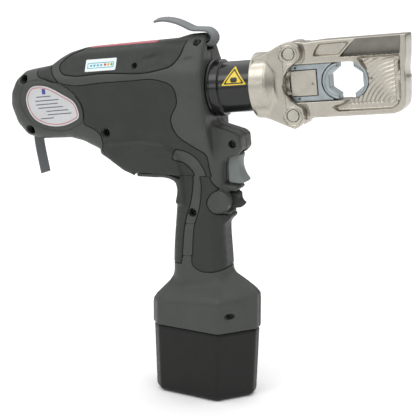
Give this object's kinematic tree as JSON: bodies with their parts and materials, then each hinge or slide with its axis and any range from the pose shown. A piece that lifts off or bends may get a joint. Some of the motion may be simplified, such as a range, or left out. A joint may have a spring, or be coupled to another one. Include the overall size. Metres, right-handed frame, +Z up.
{
  "type": "battery hydraulic crimping tool",
  "caption": "Pistol-grip battery hydraulic crimping tool with a swivelling closed head, hexagon dies, ram, trigger, retract lever and slide-on battery.",
  "frame": {"origin": "centre of the bounding box on the battery's flat base", "axes": "+X from the motor towards the crimping head, +Z up, -Y the side with the screws, the type plate and the label"},
  "size_m": [0.397, 0.0764, 0.3648],
  "materials": {
    "housing": "medium grey glass-filled nylon, fine spark-erosion grain",
    "soft_pad": "dark grey soft-grip elastomer, matt",
    "window": "translucent red light strip",
    "type_plate": "silver printed plate with a thin red outline and grey bars",
    "status_label": "white label with cyan bars and three coloured dots",
    "warning_label": "yellow triangle with a dark border",
    "steel": "ground steel",
    "casting": "sand-cast aluminium",
    "black_steel": "black oxide and lacquer, half gloss",
    "rubber": "oil-proof rubber",
    "nickel_steel": "satin nickel plating over milled steel",
    "zinc_steel": "blue passivated zinc plating",
    "switch_black": "black moulded plastic",
    "circuit_board": "green solder resist",
    "trigger": "light grey moulded plastic",
    "lever": "black moulded plastic",
    "battery_shell": "near-black moulded plastic, fine grain",
    "contact_metal": "tinned copper alloy",
    "cell": "sleeved metal cans",
    "webbing": "light grey woven polyester webbing"
  },
  "bodies": {
    "tool_body": {"housing_near": "housing", "housing_far": "housing", "pad_upper_near": "soft_pad", "pad_upper_far": "soft_pad", "pad_side_near": "soft_pad", "pad_side_far": "soft_pad", "pad_grip_front": "soft_pad", "pad_grip_rear": "soft_pad", "top_window": "window", "type_plate": "type_plate", "status_label": "status_label", "warning_label": "warning_label", "motor": "steel", "gearbox": "steel", "trigger_pin": "steel", "lever_pin": "steel", "screw_rear_top": "steel", "screw_rear_bottom": "steel", "screw_belly": "steel", "screw_front_top": "steel", "screw_nose": "steel", "screw_grip": "steel", "pump_block": "casting", "cylinder": "black_steel", "oil_reservoir": "rubber", "switch_module": "switch_black", "control_board": "circuit_board", "strap_front": "webbing", "strap_rear": "webbing"},
    "rotor": {"motor_shaft": "steel"},
    "eccentric": {"eccentric_shaft": "steel"},
    "plunger": {"pump_plunger": "steel"},
    "head": {"fork": "nickel_steel", "hinge_pin": "steel", "hinge_clip": "steel", "return_spring": "steel"},
    "lock": {"lock_pin": "steel"},
    "ram": {"ram": "steel", "piston_seal": "rubber"},
    "yoke": {"yoke": "nickel_steel", "fixed_die": "zinc_steel"},
    "die_release": {"die_plunger": "steel"},
    "carrier": {"die_carrier": "zinc_steel", "moving_die": "zinc_steel", "pressure_block": "nickel_steel"},
    "trigger": {"trigger": "trigger"},
    "lever": {"retract_lever": "lever"},
    "battery": {"battery_case": "battery_shell", "battery_lid": "battery_shell", "contact_plus": "contact_metal", "contact_minus": "contact_metal", "cell_1_near": "cell", "cell_1_far": "cell", "cell_2_near": "cell", "cell_2_far": "cell", "cell_3_near": "cell", "cell_3_far": "cell", "cell_4": "cell"},
    "latch": {"battery_latch": "soft_pad"}
  },
  "joints": [
    {"name": "rotor_spin", "type": "hinge", "parent": "tool_body", "child": "rotor", "pos_m": [-0.11323, 0, 0.28787], "axis": [0.9945, 0, 0.1045], "continuous": true},
    {"name": "eccentric_spin", "type": "hinge", "parent": "tool_body", "child": "eccentric", "pos_m": [-0.06847, 0, 0.29258], "axis": [0.9945, 0, 0.1045], "continuous": true},
    {"name": "plunger_stroke", "type": "slide", "parent": "tool_body", "child": "plunger", "axis": [0.1045, 0, -0.9945], "range_m": [0, 0.003], "stiffness_N_per_m": 800, "springref_m": -0.003},
    {"name": "head_swivel", "type": "hinge", "parent": "tool_body", "child": "head", "pos_m": [0.06081, 0, 0.30616], "axis": [0.9945, 0, 0.1045], "range_deg": [-175, 175]},
    {"name": "lock_pin_pull", "type": "slide", "parent": "head", "child": "lock", "axis": [0, 1, 0], "range_m": [0, 0.048]},
    {"name": "ram_slide", "type": "slide", "parent": "head", "child": "ram", "axis": [0.9945, 0, 0.1045], "range_m": [0, 0.0145], "stiffness_N_per_m": 3000, "springref_m": -0.006, "deforming": ["return_spring"]},
    {"name": "yoke_swing", "type": "hinge", "parent": "head", "child": "yoke", "pos_m": [0.08774, 0, 0.33695], "axis": [0, -1, 0], "range_deg": [0, 100]},
    {"name": "die_release_pull", "type": "slide", "parent": "yoke", "child": "die_release", "axis": [0.9945, 0, 0.1045], "range_m": [0, 0.004], "stiffness_N_per_m": 900, "springref_m": -0.002},
    {"name": "die_carrier_slide", "type": "slide", "parent": "yoke", "child": "carrier", "axis": [0.9945, 0, 0.1045], "range_m": [0, 0.0145]},
    {"name": "trigger_pull", "type": "hinge", "parent": "tool_body", "child": "trigger", "pos_m": [0.03115, 0, 0.2435], "axis": [0, 1, 0], "range_deg": [0, 10], "stiffness_Nm_per_rad": 0.5, "springref_deg": -14.32},
    {"name": "retract_lever_press", "type": "hinge", "parent": "tool_body", "child": "lever", "pos_m": [0.02115, 0, 0.1953], "axis": [0, 1, 0], "range_deg": [0, 10], "stiffness_Nm_per_rad": 0.4, "springref_deg": -14.32},
    {"name": "battery_slide", "type": "slide", "parent": "tool_body", "child": "battery", "axis": [0, 0, -1], "range_m": [0, 0.055]},
    {"name": "latch_press", "type": "slide", "parent": "tool_body", "child": "latch", "axis": [1, 0, 0], "range_m": [0, 0.004], "stiffness_N_per_m": 600, "springref_m": -0.003}
  ],
  "couplings": [
    {"joint": "eccentric_spin", "follows": "rotor_spin", "ratio": 0.25},
    {"joint": "die_carrier_slide", "follows": "ram_slide", "ratio": 1}
  ]
}
